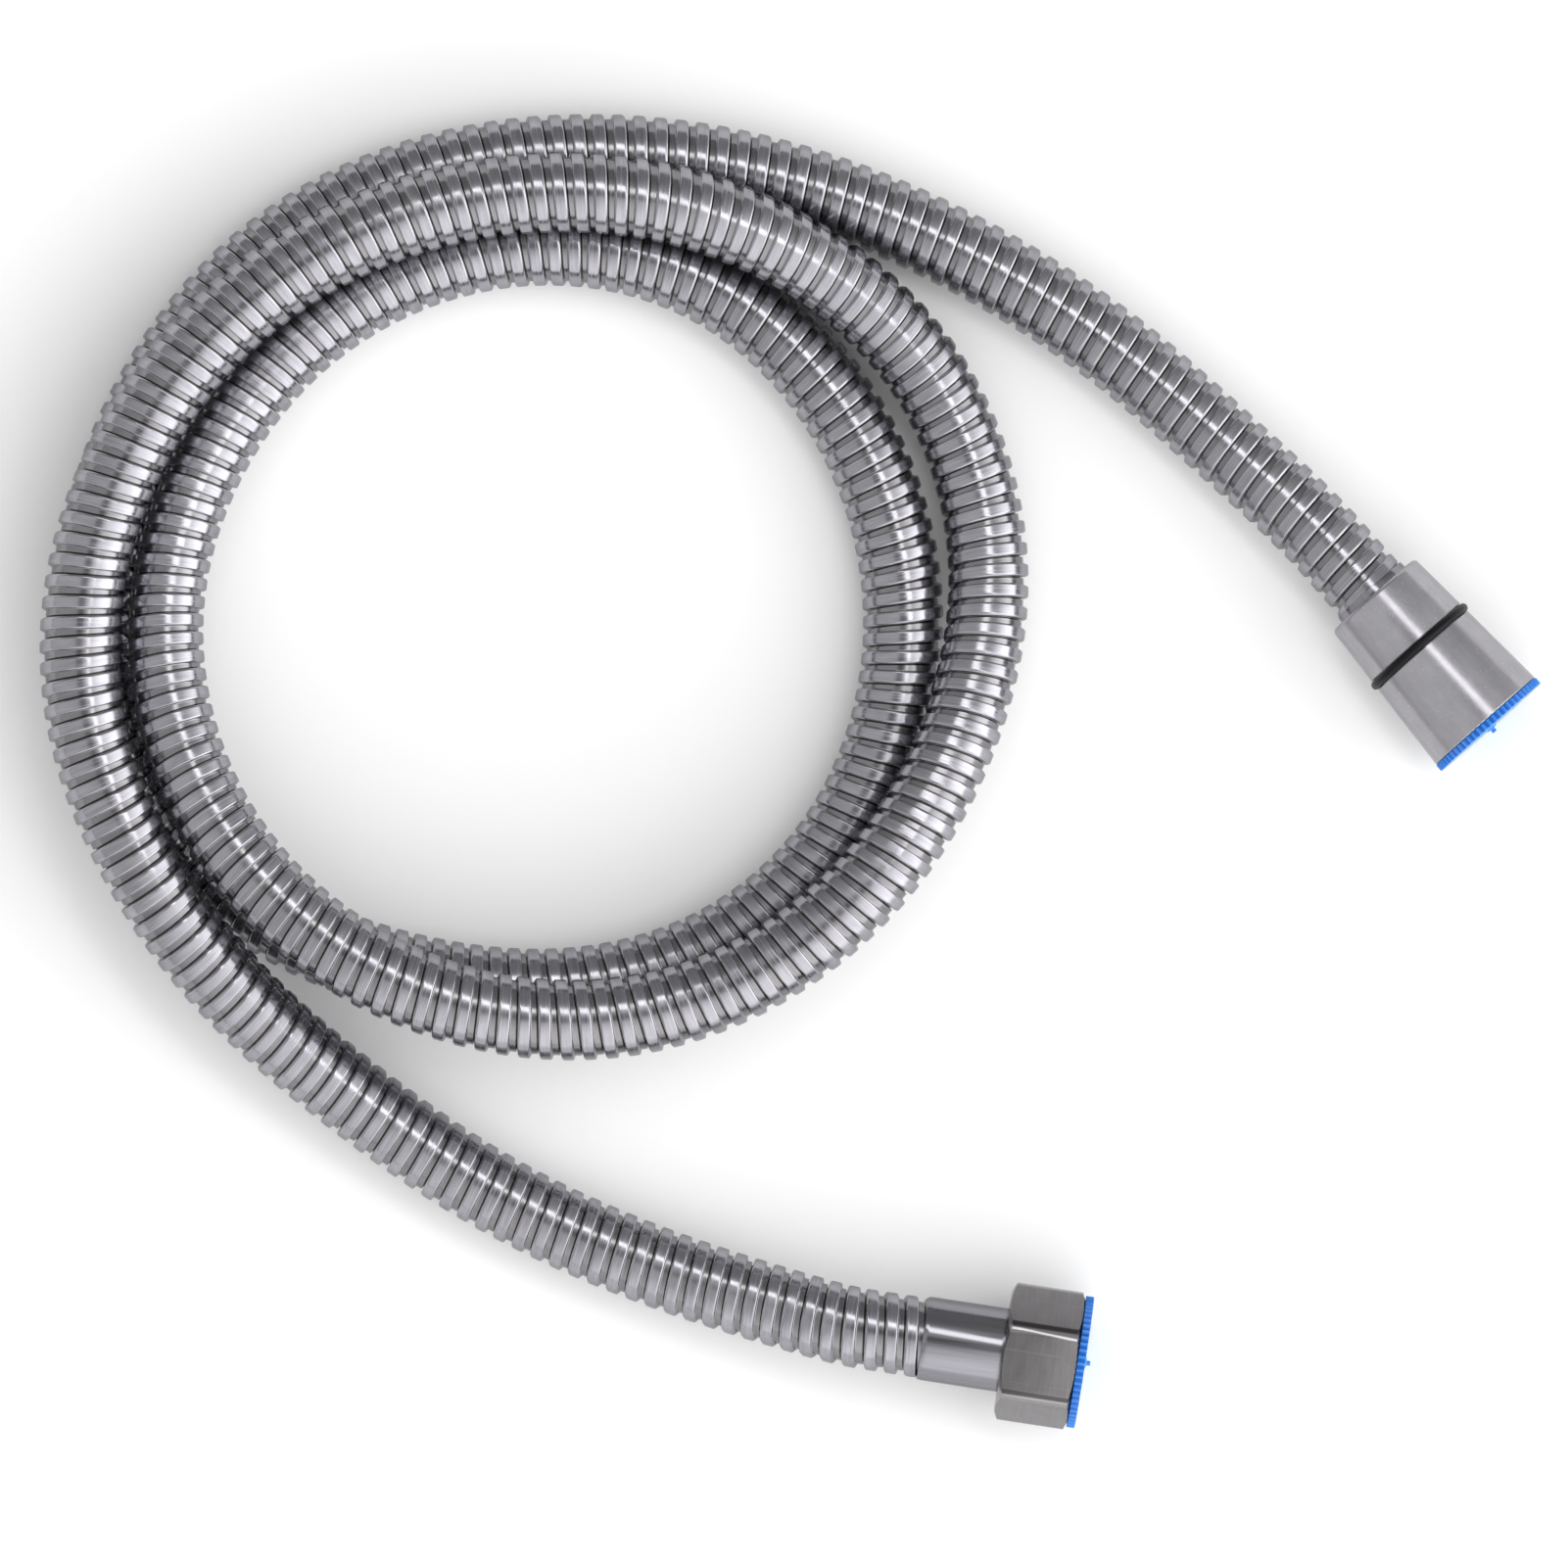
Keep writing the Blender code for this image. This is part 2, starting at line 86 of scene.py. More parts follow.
# Section of one turn: share of the pitch from the conical end, depth below the hose's outside, and
# the surface's tilt towards the conical end in degrees. The groove under the next turn's hook comes
# first, then the rolled lip, the flat crest, the soft shoulder and the valley.
TURN_SECTION = (
    (0.000, 1.40 * MM, 0),
    (0.010, 0.46 * MM, 75),
    (0.030, 0.22 * MM, 42),
    (0.070, 0.09 * MM, 28),
    (0.115, 0.01 * MM, 8),
    (0.150, 0.00 * MM, 0),
    (0.550, 0.00 * MM, -1),
    (0.600, 0.08 * MM, -26),
    (0.640, 0.34 * MM, -58),
    (0.662, 0.84 * MM, -30),
    (0.700, 0.90 * MM, 0),
    (0.925, 0.90 * MM, 0),
    (0.935, 1.40 * MM, 0),
)

# This share of a turn, from its lip to the foot of its shoulder, keeps its width in a bend
RIGID_SHARE = 0.66
GROOVE_DEPTH = 1.40 * MM

# Sleeves: the edge at the hose is turned down a little, over a recess for the hose
SLEEVE_RADIUS = 7.65 * MM
SLEEVE_LENGTH = 18.4 * MM
SLEEVE_CHAMFER = 0.7 * MM
SLEEVE_CHAMFER_DROP = 0.12 * MM
SLEEVE_RECESS = 4.5 * MM
SLEEVE_GAP = 0.1 * MM
SLEEVE_BORE = 5.9 * MM
HOSE_IN_SLEEVE = 3 * MM

# Insides of both nuts
NECK_RADIUS = 7.95 * MM
SHOULDER = 17.3 * MM
FLANGE_RADIUS = 9.0 * MM
THREAD_MINOR_RADIUS = 9.3 * MM
THREAD_MAJOR_RADIUS = 10.48 * MM
THREAD_PITCH = 1.814 * MM
THREAD_START = 21.4 * MM
THREAD_STEPS_A_TURN = 72
THREAD_END_GAP = 0.4 * MM
MOUTH_CHAMFER_DEPTH = 0.3 * MM
MOUTH_CHAMFER_WIDTH = 0.25 * MM
UNDERCUT_RADIUS = 9.6 * MM
UNDERCUT_FRONT = 20.1 * MM
WASHER_REAR = 20.4 * MM
WASHER_FRONT = 22.4 * MM
WASHER_BORE_RADIUS = 4.5 * MM
WASHER_EDGE = 0.2 * MM

# Section of the thread's ridge: share of the pitch along the axis, and share of its height
THREAD_SECTION = (
    (0.46, -0.02),
    (0.12, 0.92),
    (0.05, 1.0),
    (-0.05, 1.0),
    (-0.12, 0.92),
    (-0.46, -0.02),
)

# Conical nut and O-ring
CONE_REAR = 1.3 * MM
CONE_FRONT = 31.9 * MM
CONE_REAR_RADIUS = 9.95 * MM
CONE_FRONT_RADIUS = 11.95 * MM
CONE_REAR_CHAMFER = 0.5 * MM
CONE_FRONT_CHAMFER = 0.15 * MM
O_RING_STATION = 13.8 * MM
O_RING_SECTION = 1.7 * MM
O_RING_PROUD = 0.65 * MM
O_RING_STEPS = 24
GROOVE_SIDE_GAP = 0.12 * MM
GROOVE_FLOOR_GAP = 0.05 * MM

# Hexagon nut
HEX_REAR = 14.8 * MM
HEX_FRONT = 28.2 * MM
HEX_FLAT = 11.4 * MM
HEX_CORNER_RADIUS = HEX_FLAT / math.cos(math.pi / 6)
HEX_CORNER_ROUNDING = 2.8 * MM
HEX_CORNER_STEPS = 10
HEX_FACE_INSET = 0.25 * MM
HEX_EDGE = 0.12 * MM
HEX_REAR_CHAMFER = 1.05 * MM
HEX_FRONT_CHAMFER = 0.75 * MM
HEX_TURN = math.radians(7)

# Caps
CAP_RADIUS = 12.05 * MM
CAP_REAR = 0.05 * MM
CAP_FRONT = 1.5 * MM
CAP_TEETH = 60
TOOTH_DEPTH = 0.5 * MM
STEPS_A_TOOTH = 10
PLUG_LENGTH = 3.6 * MM
PLUG_WALL = 0.9 * MM
BOSS_RADIUS = 1.0 * MM
BOSS_HEIGHT = 0.35 * MM
BOSS_FLARE = 0.3 * MM
NUB_RADIUS = 0.45 * MM
NUB_HEIGHT = 1.1 * MM

# The teeth start this far inside the rim, and reach their full depth over this width
TEETH_START = 0.6 * MM
TEETH_BLEND = 0.4 * MM

# Turned shapes: steps round the turn and round an edge, and the radius that stands for no radius.
# Points that are closer to each other than the merge distance become one.
ROUND_STEPS = 160
ROUNDING_STEPS = 4
AXIS_RADIUS = 0.001 * MM
MERGE_DISTANCE = 0.0005 * MM

# Studio: camera above the middle of the photo's frame, one lamp, room and floor
CAMERA_HEIGHT = 4
CAMERA_SENSOR = 36
FRAME_WIDTH = 0.2855
FRAME_MIDDLE = (-1.1 * MM, -2.05 * MM)
LAMP_PLACE = (0.15, 0.36, 1.06)
LAMP_LENGTH = 1.0
LAMP_WIDTH = 0.22
LAMP_POWER = 2.05
ROOM_STRENGTH = 3.75
FLOOR_LEVEL = 0.94
FLOOR_HALF_WIDTH = 3

# The room's light is the product of a level along each of these axes: (axis, stops), where a stop
# is the direction's part along the axis and the level there. The room is brighter to the lower
# right and to the right of the photo, darker beyond the hose, and dim near the horizon and the camera.
ROOM_LEVELS = (
    ((1, -1, 0), ((-1, 0.44), (-0.3, 0.42), (0, 0.36), (0.14, 0.42), (0.28, 0.64), (0.52, 0.92))),
    ((1, 0, 0), ((0.1, 0.52), (0.35, 0.56), (0.6, 0.62), (0.8, 0.85), (0.95, 1))),
    ((0, 1, 0), ((0.1, 1), (0.35, 0.86), (0.6, 0.6), (0.8, 0.36))),
    ((0, 0, 1), ((0.02, 0.7), (0.1, 1), (0.975, 1), (0.994, 0.3))),
)


def end_matrix(joint_name):
    """Return an end's frame: origin at the sleeve's rear edge, X down, Y level, Z to the nut's mouth."""
    joint = next(j for j in frame["record"]["behaviour"]["joints"] if j["name"] == joint_name)
    forward = Vector(joint["axis"]).normalized()
    level = Vector((0, 0, 1)).cross(forward).normalized()
    turning = Matrix((level.cross(forward), level, forward)).transposed()
    return Matrix.Translation(joint["pos_m"]) @ turning.to_4x4()


CONE_END = end_matrix("cone_nut_swivel")
HEX_END = end_matrix("hex_nut_swivel")


def along(end, station):
    """Return the point on an end's axis at this station."""
    return end @ Vector((0, 0, station))


# Studio


def add_camera():
    """Look straight down from far away, as the photograph does."""
    data = bpy.data.cameras.new("camera")
    data.sensor_width = CAMERA_SENSOR
    data.lens = CAMERA_SENSOR * CAMERA_HEIGHT / FRAME_WIDTH
    data.clip_end = 5 * CAMERA_HEIGHT
    camera = bpy.data.objects.new("camera", data)
    camera.location = (*FRAME_MIDDLE, CAMERA_HEIGHT)
    bpy.context.scene.collection.objects.link(camera)
    bpy.context.scene.camera = camera


def add_lamp():
    """Add a long soft lamp that faces the middle of the hose and lies slantwise across the photo."""
    data = bpy.data.lights.new("strip", "AREA")
    data.shape = "RECTANGLE"
    data.size = LAMP_LENGTH
    data.size_y = LAMP_WIDTH
    data.energy = LAMP_POWER
    lamp = bpy.data.objects.new("strip", data)
    away = Vector(LAMP_PLACE).normalized()
    long_side = Vector((1, -1, 0)).normalized()
    lamp.matrix_world = Matrix((long_side, away.cross(long_side), away)).transposed().to_4x4()
    lamp.location = LAMP_PLACE
    bpy.context.scene.collection.objects.link(lamp)


def add_floor():
    """Lay a pale floor under the hose."""
    mesh = bpy.data.meshes.new("floor")
    shape = bmesh.new()
    bmesh.ops.create_grid(shape, x_segments=1, y_segments=1, size=FLOOR_HALF_WIDTH)
    shape.to_mesh(mesh)
    shape.free()
    floor = bpy.data.objects.new("floor", mesh)
    bpy.context.scene.collection.objects.link(floor)
    material = Material("floor")
    material.set("Base Color", (FLOOR_LEVEL, FLOOR_LEVEL, FLOOR_LEVEL, 1))
    material.set("Roughness", 0.7)
    mesh.materials.append(material.data)


def light_room():
    """Surround the hose with a soft room, whose brightness is the product of ROOM_LEVELS."""
    world = bpy.data.worlds.new("studio")
    bpy.context.scene.world = world
    world.use_nodes = True
    nodes, links = world.node_tree.nodes, world.node_tree.links
    direction = nodes.new("ShaderNodeTexCoord").outputs["Generated"]

    def level_along(axis, stops):
        """Return a level that follows the direction's part along an axis, from -1 to 1."""
        part = nodes.new("ShaderNodeVectorMath")
        part.operation = "DOT_PRODUCT"
        part.inputs[1].default_value = Vector(axis).normalized()
        links.new(direction, part.inputs[0])
        shift = nodes.new("ShaderNodeMapRange")
        shift.inputs["From Min"].default_value = -1
        links.new(part.outputs["Value"], shift.inputs["Value"])
        levels = nodes.new("ShaderNodeValToRGB")
        links.new(shift.outputs["Result"], levels.inputs["Fac"])
        while len(levels.color_ramp.elements) < len(stops):
            levels.color_ramp.elements.new(0.5)
        for element, (place, level) in zip(levels.color_ramp.elements, stops):
            element.position = (place + 1) / 2
            element.color = (level, level, level, 1)
        return levels.outputs["Color"]

    def product(first, second):
        """Multiply two levels."""
        node = nodes.new("ShaderNodeVectorMath")
        node.operation = "MULTIPLY"
        links.new(first, node.inputs[0])
        links.new(second, node.inputs[1])
        return node.outputs["Vector"]

    light = reduce(product, [level_along(axis, stops) for axis, stops in ROOM_LEVELS])
    background = nodes["Background"]
    links.new(light, background.inputs["Color"])
    background.inputs["Strength"].default_value = ROOM_STRENGTH


def light_studio():
    """Light the hose with the room and the lamp."""
    bpy.context.scene.view_settings.view_transform = "Standard"
    light_room()
    add_lamp()


# Materials


class Material:
    """A Principled material with short calls for its nodes."""

    def __init__(self, name):
        self.data = bpy.data.materials.new(name)
        self.data.use_nodes = True
        self.nodes = self.data.node_tree.nodes
        self.links = self.data.node_tree.links
        self.shader = self.nodes["Principled BSDF"]

    def set(self, socket, value):
        """Set one of the shader's own values."""
        self.shader.inputs[socket].default_value = value

    def link(self, output, socket):
        """Link a node's output to the shader."""
        self.links.new(output, self.shader.inputs[socket])

    def make_metal(self, edge, share=1.0):
        """Make this share of the surface metal, with this brightness where it is seen edge-on."""
        self.set("Metallic", share)
        self.set("Specular Tint", (edge, edge, edge, 1))

    def add(self, kind, links=None, **values):
        """Add a node with these properties or values, and its inputs linked from other nodes' outputs."""
        node = self.nodes.new(kind)
        for key, value in values.items():
            if hasattr(node, key):
                setattr(node, key, value)
            else:
                node.inputs[key.replace("_", " ").title()].default_value = value
        for socket, output in (links or {}).items():
            self.links.new(output, node.inputs[socket])
        return node

    def coordinates(self, scale, source="Object"):
        """Return the surface's coordinates, scaled along each axis."""
        place = self.add("ShaderNodeTexCoord").outputs[source]
        return self.add("ShaderNodeMapping", {"Vector": place}, scale=scale).outputs["Vector"]

    def noise(self, waves, detail=3, roughness=0.55, source="Object"):
        """Return noise from 0 to 1 with about this many waves to the metre along each axis."""
        place = self.coordinates(waves, source)
        values = {"scale": 1, "detail": detail, "roughness": roughness}
        return self.add("ShaderNodeTexNoise", {"Vector": place}, **values).outputs["Fac"]

    def between(self, factor, low, high, start=0.3, end=0.7):
        """Map a factor from the range from start to end to the range from low to high."""
        node = self.add("ShaderNodeMapRange", {"Value": factor})
        node.inputs["From Min"].default_value = start
        node.inputs["From Max"].default_value = end
        node.inputs["To Min"].default_value = low
        node.inputs["To Max"].default_value = high
        return node.outputs["Result"]

    def calculate(self, operation, *values):
        """Return a sum or a function of the values, which are numbers or the outputs of nodes."""
        node = self.add("ShaderNodeMath", operation=operation)
        for socket, value in zip(node.inputs, values):
            if isinstance(value, (int, float)):
                socket.default_value = value
            else:
                self.links.new(value, socket)
        return node.outputs["Value"]

    def mixed(self, factor, first, second):
        """Mix two colours, or the outputs of nodes."""
        node = self.add("ShaderNodeMix", {"Factor": factor}, data_type="RGBA")
        first_colour, second_colour, mixed_colour = node.inputs[6], node.inputs[7], node.outputs[2]
        for socket, colour in ((first_colour, first), (second_colour, second)):
            if isinstance(colour, tuple):
                socket.default_value = (*colour, 1)
            else:
                self.links.new(colour, socket)
        return mixed_colour

    def bump(self, height, distance, strength=1.0):
        """Roughen the surface by a height."""
        node = self.add("ShaderNodeBump", {"Height": height})
        node.inputs["Distance"].default_value = distance
        node.inputs["Strength"].default_value = strength
        self.link(node.outputs["Normal"], "Normal")


def strip_steel():
    """Bright rolled strip with streaks along it, and painted shade that darkens its valleys and its
    grooves.
    """
    dull, bright, streak = (0.26, 0.258, 0.292), (0.352, 0.35, 0.388), (0.48, 0.463, 0.452)
    # Painted shade for the valleys and for the grooves
    shade, groove_shade = (0.13, 0.122, 0.118), (0.03, 0.025, 0.022)
    steel = Material("wound_strip")
    steel.make_metal(0.6, share=0.92)
    streaks = steel.noise((70, 2600, 1), source="UV")
    patches = steel.noise((160, 420, 1), detail=4, source="UV")
    tone = steel.mixed(steel.between(patches, 0, 1), dull, bright)
    tone = steel.mixed(steel.between(streaks, 0, 0.45, 0.35, 0.75), tone, streak)
    depth = steel.add("ShaderNodeAttribute", attribute_name="depth").outputs["Fac"]
    # Painted shade by depth: darker in the valleys, near black in the grooves
    valley = steel.mixed(steel.between(depth, 0, 0.5, 0.35, 0.62), tone, shade)
    groove = steel.mixed(steel.between(depth, 0, 1, 0.70, 0.92), valley, groove_shade)
    steel.link(groove, "Base Color")
    steel.link(steel.between(streaks, 0.12, 0.28), "Roughness")
    steel.bump(streaks, 0.004 * MM, 0.4)
    return steel.data


def polished_steel():
    """Polished tube with faint lines round it and a few soft drawing marks along it."""
    dull, bright = (0.24, 0.235, 0.258), (0.285, 0.279, 0.304)
    steel = Material("polished_sleeve")
    steel.make_metal(0.6)
    rings = steel.noise((150, 150, 5200), detail=2)
    marks = steel.noise((1500, 1500, 60))
    steel.link(steel.mixed(steel.between(marks, 0, 1), dull, bright), "Base Color")
    steel.link(steel.between(marks, 0.12, 0.2), "Roughness")
    steel.bump(rings, 0.003 * MM, 0.3)
    return steel.data


def satin_steel():
    """Satin metal of the conical nut: fine speckled grain with soft streaks along the axis."""
    dull, bright = (0.345, 0.337, 0.36), (0.41, 0.40, 0.426)
    cloud, speck = (0.22, 0.215, 0.23), (0.52, 0.515, 0.53)
    steel = Material("satin_cone")
    steel.make_metal(0.65, share=0.7)
    grain = steel.noise((2300, 2300, 1700), detail=4, roughness=0.75)
    clouds = steel.noise((380, 380, 300), detail=4)
    streaks = steel.noise((420, 420, 35))
    tone = steel.mixed(steel.between(streaks, 0, 1), dull, bright)
    tone = steel.mixed(steel.between(clouds, 0, 0.3), tone, cloud)
    tone = steel.mixed(steel.between(grain, 0, 0.22, 0.35, 0.8), tone, speck)
    steel.link(tone, "Base Color")
    steel.link(steel.between(grain, 0.16, 0.28), "Roughness")
    steel.bump(grain, 0.006 * MM, 0.25)
    return steel.data


def hexagon_corners(steel):
    """Return two factors: how near a corner the surface lies, and how far on its darker side.

    The direction of the surface round the axis tells the corners from the flats: the wave is 1 in the
    middle of a flat and 0 in a corner, and the lag tells the two sides of a corner.
    """
    normal = steel.add("ShaderNodeTexCoord").outputs["Normal"]
    parts = steel.add("ShaderNodeSeparateXYZ", {"Vector": normal}).outputs
    facing = steel.calculate("ARCTAN2", parts["Y"], parts["X"])
    turned = steel.calculate("MULTIPLY_ADD", facing, 3, -3 * HEX_TURN)
    wave = steel.calculate("ABSOLUTE", steel.calculate("COSINE", turned))
    lag = steel.calculate("SINE", steel.calculate("MULTIPLY", turned, 2))
    corner = steel.between(wave, 1, 0, 0.80, 0.995)
    # A darker band on one side of each corner
    corner_side_band = steel.calculate("MULTIPLY", corner, steel.between(lag, 0, 1, 0, 0.5))
    return corner, corner_side_band


def brushed_steel():
    """Brushed metal of the hexagon nut: fine lines that run round it, and painted highlights on its
    corners.
    """
    dull, bright = (0.13, 0.124, 0.128), (0.165, 0.158, 0.163)
    line, scratch, edge_sheen = (0.245, 0.236, 0.242), (0.33, 0.32, 0.325), (0.28, 0.27, 0.276)
    # Painted highlight for the corners, and a darker colour for the band on one side of each corner
    corner_highlight, corner_side_dark = (0.27, 0.262, 0.268), (0.07, 0.065, 0.067)
    steel = Material("brushed_hexagon")
    steel.make_metal(1.0, share=0.8)
    lines = steel.noise((150, 150, 3600), detail=4, roughness=0.7)
    scratches = steel.noise((2400, 2400, 40), detail=2)
    patches = steel.noise((260, 260, 420), detail=4)
    edge_on = steel.add("ShaderNodeLayerWeight").outputs["Facing"]
    corner, corner_side_band = hexagon_corners(steel)
    tone = steel.mixed(steel.between(patches, 0, 1), dull, bright)
    tone = steel.mixed(steel.between(lines, 0, 0.4), tone, line)
    tone = steel.mixed(steel.between(scratches, 0, 0.35, 0.62, 0.72), tone, scratch)
    # Painted sheen: the colour turns lighter where the surface is seen edge-on
    tone = steel.mixed(steel.between(edge_on, 0, 0.2, 0.05, 0.4), tone, edge_sheen)
    # Painted highlight: the corners are lighter, and a darker band lies on one side of each corner
    tone = steel.mixed(corner_side_band, steel.mixed(corner, tone, corner_highlight), corner_side_dark)
    steel.link(tone, "Base Color")
    steel.link(steel.between(corner, 0.34, 0.12, 0, 1), "Roughness")
    steel.bump(lines, 0.012 * MM, 0.4)
    return steel.data


def black_rubber():
    """Black rubber with a fine skin and pale dust."""
    black, pale = (0.004, 0.004, 0.005), (0.09, 0.09, 0.09)
    rubber = Material("black_rubber")
    skin = rubber.noise((2400, 2400, 2400))
    dust = rubber.noise((5200, 5200, 5200), detail=2)
    rubber.link(rubber.mixed(rubber.between(dust, 0, 0.2, 0.55, 0.8), black, pale), "Base Color")
    rubber.link(rubber.between(skin, 0.32, 0.5), "Roughness")
    rubber.set("Specular IOR Level", 0.15)
    rubber.bump(skin, 0.012 * MM, 0.4)
    return rubber.data


def blue_plastic():
    """Azure moulded plastic, a little translucent, with a faint orange-peel skin."""
    deep, light, notch_shade = (0.024, 0.20, 0.64), (0.034, 0.25, 0.75), (0.010, 0.105, 0.48)
    plastic = Material("azure_plastic")
    skin = plastic.noise((900, 900, 900))
    tone = plastic.mixed(plastic.between(skin, 0, 1), deep, light)

    # Painted shade: the notches of the rim are darker
    flat = plastic.coordinates((1, 1, 0))
    radius = plastic.add("ShaderNodeVectorMath", {"Vector": flat}, operation="LENGTH").outputs["Value"]
    notch = plastic.between(radius, 1, 0, CAP_RADIUS - TOOTH_DEPTH, CAP_RADIUS - 0.05 * MM)
    rim = plastic.between(radius, 0, 1, CAP_RADIUS - 1.0 * MM, CAP_RADIUS - 0.7 * MM)
    shade = plastic.calculate("MULTIPLY", notch, rim)
    plastic.link(plastic.mixed(shade, tone, notch_shade), "Base Color")
    plastic.link(plastic.between(skin, 0.26, 0.38), "Roughness")
    plastic.set("Subsurface Weight", 0.12)
    plastic.set("Subsurface Scale", 0.6 * MM)
    plastic.bump(skin, 0.01 * MM, 0.3)
    return plastic.data


def turned_brass():
    """Turned brass of the cores."""
    dull, bright = (0.62, 0.43, 0.18), (0.78, 0.58, 0.30)
    metal = Material("turned_brass")
    metal.set("Metallic", 1.0)
    rings = metal.noise((150, 150, 4200), detail=2)
    metal.link(metal.mixed(metal.between(rings, 0, 1), dull, bright), "Base Color")
    metal.link(metal.between(rings, 0.25, 0.4), "Roughness")
    return metal.data


def white_plastic():
    """White plastic of the slip rings."""
    dull, bright = (0.76, 0.76, 0.74), (0.84, 0.84, 0.82)
    plastic = Material("white_plastic")
    skin = plastic.noise((700, 700, 700))
    plastic.link(plastic.mixed(plastic.between(skin, 0, 1), dull, bright), "Base Color")
    plastic.link(plastic.between(skin, 0.35, 0.5), "Roughness")
    return plastic.data


# Shapes


def add_piece(name, mesh, material, body, end=None):
    """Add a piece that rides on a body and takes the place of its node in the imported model."""
    piece = bpy.data.objects.new(name, mesh)
    bpy.context.scene.collection.objects.link(piece)
    if end is not None:
        piece.matrix_world = end
    mesh.materials.clear()
    mesh.materials.append(material)
    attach(piece, body)
    return piece


def rounded(outline):
    """Round the corners of a closed outline of (radius, station, rounding) points."""
    smooth = []
    count = len(outline)
    for i, (radius, station, rounding) in enumerate(outline):
        here = Vector((radius, station))
        if not rounding:
            smooth.append(here)
            continue
        before = Vector(outline[i - 1][:2])
        after = Vector(outline[(i + 1) % count][:2])
        start = here + (before - here).normalized() * rounding
        end = here + (after - here).normalized() * rounding
        for step in range(ROUNDING_STEPS + 1):
            t = step / ROUNDING_STEPS
            smooth.append(start * (1 - t) ** 2 + here * 2 * t * (1 - t) + end * t**2)
    return [(point.x, point.y) for point in smooth]


def grid_mesh(name, points, close_rows):
    """Make a mesh from a grid of points, rows by columns, whose columns join up into rings."""
    rows, columns, _ = points.shape
    row = np.arange(rows if close_rows else rows - 1)[:, None]
    column = np.arange(columns)[None, :]
    next_row = (row + 1) % rows
    next_column = (column + 1) % columns
    corners = [
        row * columns + column,
        next_row * columns + column,
        next_row * columns + next_column,
        row * columns + next_column,
    ]
    faces = np.stack(np.broadcast_arrays(*corners), axis=-1).reshape(-1, 4)
    mesh = bpy.data.meshes.new(name)
    mesh.from_pydata(points.reshape(-1, 3), [], faces)
    return mesh


def finish_mesh(mesh, sharp_angle=38):
    """Merge points that lie on each other, shade the mesh smooth, and keep its sharp edges."""
    shape = bmesh.new()
    shape.from_mesh(mesh)
    bmesh.ops.remove_doubles(shape, verts=shape.verts, dist=MERGE_DISTANCE)
    shape.to_mesh(mesh)
    shape.free()
    mesh.shade_smooth()
    mesh.set_sharp_from_angle(angle=math.radians(sharp_angle))
    return mesh


def lathe(name, outline, steps=ROUND_STEPS, mill=None):
    """Turn a closed outline about the Z axis, its radii changed round the turn by mill(radii, angles)."""
    radii, stations = np.array(outline).T[:, :, None]
    angles = np.linspace(0, 2 * math.pi, steps, endpoint=False)
    radii = np.repeat(radii, steps, axis=1)
    if mill:
        radii = mill(radii, angles)
    stations = np.broadcast_to(stations, radii.shape)
    points = np.stack([radii * np.cos(angles), radii * np.sin(angles), stations], axis=-1)
    return finish_mesh(grid_mesh(name, points, close_rows=True))


def smooth_curve(points, start, end, spacing):
    """Return evenly spaced points of the cubic spline through these ones, with these end directions."""
    points = np.array(points)
    spans = np.linalg.norm(np.diff(points, axis=0), axis=1)
    slopes = np.diff(points, axis=0) / spans[:, None]
    slopes = np.vstack([start, slopes, end])
    last = len(points) - 1

    # The curve's second derivatives at the points solve a system with three diagonals
    system = np.zeros((last + 1, last + 1))
    for i, span in enumerate(spans):
        system[i, i] += 2 * span
        system[i + 1, i + 1] += 2 * span
        system[i, i + 1] = system[i + 1, i] = span
    bends = np.linalg.solve(system, 6 * np.diff(slopes, axis=0))

    knots = np.append(0, np.cumsum(spans))

    def at(where):
        """Return the curve's points at these distances along the chords."""
        i = np.clip(np.searchsorted(knots, where) - 1, 0, last - 1)
        span = spans[i][:, None]
        done = (where - knots[i])[:, None]
        left = span - done
        straight = (points[i] * left + points[i + 1] * done) / span
        sway = bends[i] * left * (left**2 - span**2) + bends[i + 1] * done * (done**2 - span**2)
        return straight + sway / (6 * span)

    steps_a_span = 100
    fine = np.linspace(0, knots[-1], steps_a_span * last)
    lengths = np.append(0, np.cumsum(np.linalg.norm(np.diff(at(fine), axis=0), axis=1)))
    count = round(lengths[-1] / spacing) + 1
    return at(np.interp(np.linspace(0, lengths[-1], count), lengths, fine))


# Hose


def unit(vectors):
    """Return vectors of length one."""
    return vectors / np.linalg.norm(vectors, axis=-1, keepdims=True)


